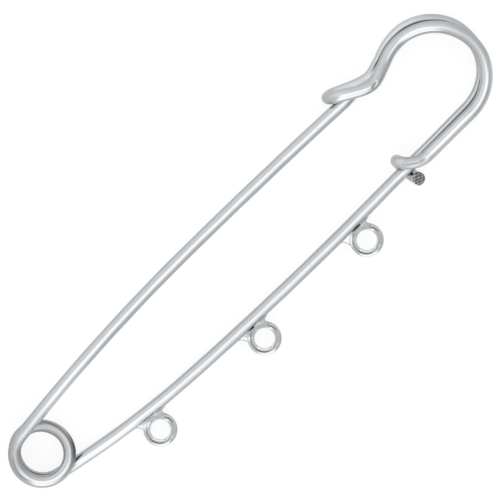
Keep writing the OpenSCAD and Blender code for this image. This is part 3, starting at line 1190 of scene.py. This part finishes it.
def plated_metal(name):
    """Polished plating with faint drawing lines along the wire and slow changes of tint and gloss."""
    material, shader = new_material(name)
    tree = material.node_tree
    place = noted(tree, "wire_place").outputs["Vector"]
    residue_and_painted_light = noted(tree, "residue_and_painted_light").outputs["Fac"]
    matte = noted(tree, "matte").outputs["Fac"]
    lines = noise(tree, place, **LINE_NOISE)
    clouds = noise(tree, place, **CLOUD_NOISE)
    clean = tinted(tree, ramp(tree, clouds, *CLOUD_RANGE, 0, 1), TINT_LOW, TINT_HIGH)
    gloss = ramp(tree, lines, *LINE_RANGE, *ROUGHNESS)
    rougher = calculate(tree, "MULTIPLY", matte, MATTE_ROUGHNESS)
    dulled = calculate(tree, "MULTIPLY", calculate(tree, "MAXIMUM", residue_and_painted_light, 0.0), DARKENED_ROUGHNESS)
    bump = tree.nodes.new("ShaderNodeBump")
    fill(tree, bump, {"Strength": LINE_RELIEF, "Distance": LINE_DEPTH, "Height": lines})
    # Base colour moves towards the dark colour by the share of residue and painted shade, and away from it
    # where a highlight is painted
    fill(tree, shader, {
        "Base Color": tinted(tree, residue_and_painted_light, clean, SHADE_AND_RESIDUE_COLOUR),
        "Metallic": 1.0,
        "Roughness": calculate(tree, "ADD", gloss, calculate(tree, "ADD", rougher, dulled)),
        "Normal": bump.outputs["Normal"],
    })
    return material


# Stage, light and camera
PHOTO_MM_PER_PX = 0.118
PHOTO_MIDDLE = (0.79, 1.69)
PHOTO_TURN = -44.0
PHOTO_PX = 500
CAMERA_HEIGHT = 1000.0
SENSOR_W = 36

# Soft lamps and dark cards: direction in the picture and height in degrees, how tight, and how strong
AMBIENT = 0.76
LAMPS = [
    ("overhead", 0, 90, 3, 0.12),
    ("north_west", 135, 40, 3, 0.24),
    ("south", 280, 10, 10, 0.20),
    ("east_card", 340, 12, 3, -0.20),
]

# Large softbox overhead and towards the bottom of the picture: each edge as the way in past it, in degrees
# in the picture, and how far along that way the light starts and is full
SOFTBOX_LIGHT = 0.74
SOFTBOX_EDGES = [
    ("west", 0, -0.36, -0.02),
    ("north", -90, -0.26, -0.04),
    ("east", 180, -0.80, -0.30),
]
TENT_COLOUR = (0.985, 0.995, 1.0, 1)

# Floor: half its width and how far under the object it lies, in metres; its white and its own light; and
# how the camera sees it
FLOOR_HALF = 2.0
FLOOR_DROP = 0.00001
FLOOR_WHITE = (0.74, 0.74, 0.74, 1)
FLOOR_ROUGHNESS = 0.9
FLOOR_GLOW = 0.77
GLOW_SHARE = 0.6
SEEN_WHITE = 1.15
SEEN_SHADE = 0.28


def toward(tree, direction, vector):
    """How far a direction points along a vector."""
    node = tree.nodes.new("ShaderNodeVectorMath")
    node.operation = "DOT_PRODUCT"
    fill(tree, node, {0: direction, 1: vector})
    return node.outputs["Value"]


def lamp_direction(azimuth, height):
    across = polar(math.cos(math.radians(height)), azimuth + PHOTO_TURN)
    return level(across, math.sin(math.radians(height)))


def lamp_share(tree, direction, azimuth, height, tightness):
    facing = calculate(tree, "MAXIMUM", toward(tree, direction, lamp_direction(azimuth, height)), 0.0)
    return calculate(tree, "POWER", facing, tightness)


def softbox_share(tree, direction):
    share = 1.0
    for _, way_in, start, full in SOFTBOX_EDGES:
        edge = ramp(tree, toward(tree, direction, lamp_direction(way_in, 0)), start, full, 0, 1)
        edge.node.interpolation_type = "SMOOTHSTEP"
        share = calculate(tree, "MULTIPLY", edge, share)
    return share


def glow(tree, strength):
    node = tree.nodes.new("ShaderNodeEmission")
    node.inputs["Strength"].default_value = strength
    return node.outputs["Emission"]


def mixed(tree, share, a, b):
    """Shader that goes from one to another by a share, which is a number or a socket."""
    node = tree.nodes.new("ShaderNodeMixShader")
    fill(tree, node, {"Fac": share, 1: a, 2: b})
    return node.outputs["Shader"]


def seen_or_lit(tree, lit, seen):
    """One shader where the camera looks at it, and the other for all other light."""
    path = tree.nodes.new("ShaderNodeLightPath")
    return mixed(tree, path.outputs["Is Camera Ray"], lit, seen)


def white_sweep():
    """White that is lit from above and glows, and that the camera sees nearly shadowless."""
    material, shader = new_material("white_sweep")
    shader.inputs["Base Color"].default_value = FLOOR_WHITE
    shader.inputs["Roughness"].default_value = FLOOR_ROUGHNESS
    shader.inputs["Specular IOR Level"].default_value = 0.0
    tree = material.node_tree
    lit = mixed(tree, GLOW_SHARE, shader.outputs["BSDF"], glow(tree, FLOOR_GLOW))
    seen = mixed(tree, SEEN_SHADE, glow(tree, SEEN_WHITE), shader.outputs["BSDF"])
    surface = seen_or_lit(tree, lit, seen)
    tree.links.new(surface, tree.nodes["Material Output"].inputs["Surface"])
    return material


def build_stage():
    corners = [(x * FLOOR_HALF, y * FLOOR_HALF, 0) for x, y in ((-1, -1), (1, -1), (1, 1), (-1, 1))]
    mesh = bpy.data.meshes.new("floor")
    mesh.from_pydata(corners, [], [(0, 1, 2, 3)])
    floor = bpy.data.objects.new("floor", mesh)
    floor.location.z = -FLOOR_DROP
    bpy.context.scene.collection.objects.link(floor)
    floor.data.materials.append(white_sweep())


def build_world():
    """Tent of soft light round the object, with a plain white backdrop for the camera."""
    world = bpy.data.worlds.new("studio")
    bpy.context.scene.world = world
    world.use_nodes = True
    tree = world.node_tree
    direction = tree.nodes.new("ShaderNodeTexCoord").outputs["Generated"]
    light = AMBIENT
    for _, azimuth, height, tightness, strength in LAMPS:
        share = lamp_share(tree, direction, azimuth, height, tightness)
        light = calculate(tree, "ADD", calculate(tree, "MULTIPLY", share, strength), light)
    softbox = calculate(tree, "MULTIPLY", softbox_share(tree, direction), SOFTBOX_LIGHT)
    light = calculate(tree, "ADD", softbox, light)
    tent = tree.nodes["Background"]
    tent.inputs["Color"].default_value = TENT_COLOUR
    tree.links.new(light, tent.inputs["Strength"])
    backdrop = tree.nodes.new("ShaderNodeBackground")
    backdrop.inputs["Color"].default_value = (1, 1, 1, 1)
    surface = seen_or_lit(tree, tent.outputs["Background"], backdrop.outputs["Background"])
    tree.links.new(surface, tree.nodes["World Output"].inputs["Surface"])


def build_camera():
    data = bpy.data.cameras.new("camera")
    data.sensor_width = SENSOR_W
    data.lens = SENSOR_W * CAMERA_HEIGHT / (PHOTO_MM_PER_PX * PHOTO_PX)
    data.clip_start = 0.01
    data.clip_end = 20
    camera = bpy.data.objects.new("camera", data)
    camera.location = (PHOTO_MIDDLE[0] * MM, PHOTO_MIDDLE[1] * MM, CAMERA_HEIGHT * MM)
    camera.rotation_euler = (0, 0, math.radians(PHOTO_TURN))
    bpy.context.scene.collection.objects.link(camera)
    bpy.context.scene.camera = camera


# The pieces
plating = plated_metal("plated_wire")

arm = build_arm()
coil_wire = build_coil()
frame_wire = build_frame_wire()
rings = [build_ring(**row) for row in RINGS]

for piece in (arm, coil_wire, frame_wire, *rings):
    piece.data.materials.append(plating)

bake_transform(coil_wire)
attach(arm, "arm")
for piece in (frame_wire, *rings):
    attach(piece, "pin_frame")
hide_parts("pin_arm")
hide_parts("coil_spring")
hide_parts("spine", "head_and_catch")

build_stage()
build_world()
build_camera()

bpy.context.scene.view_settings.view_transform = "Standard"
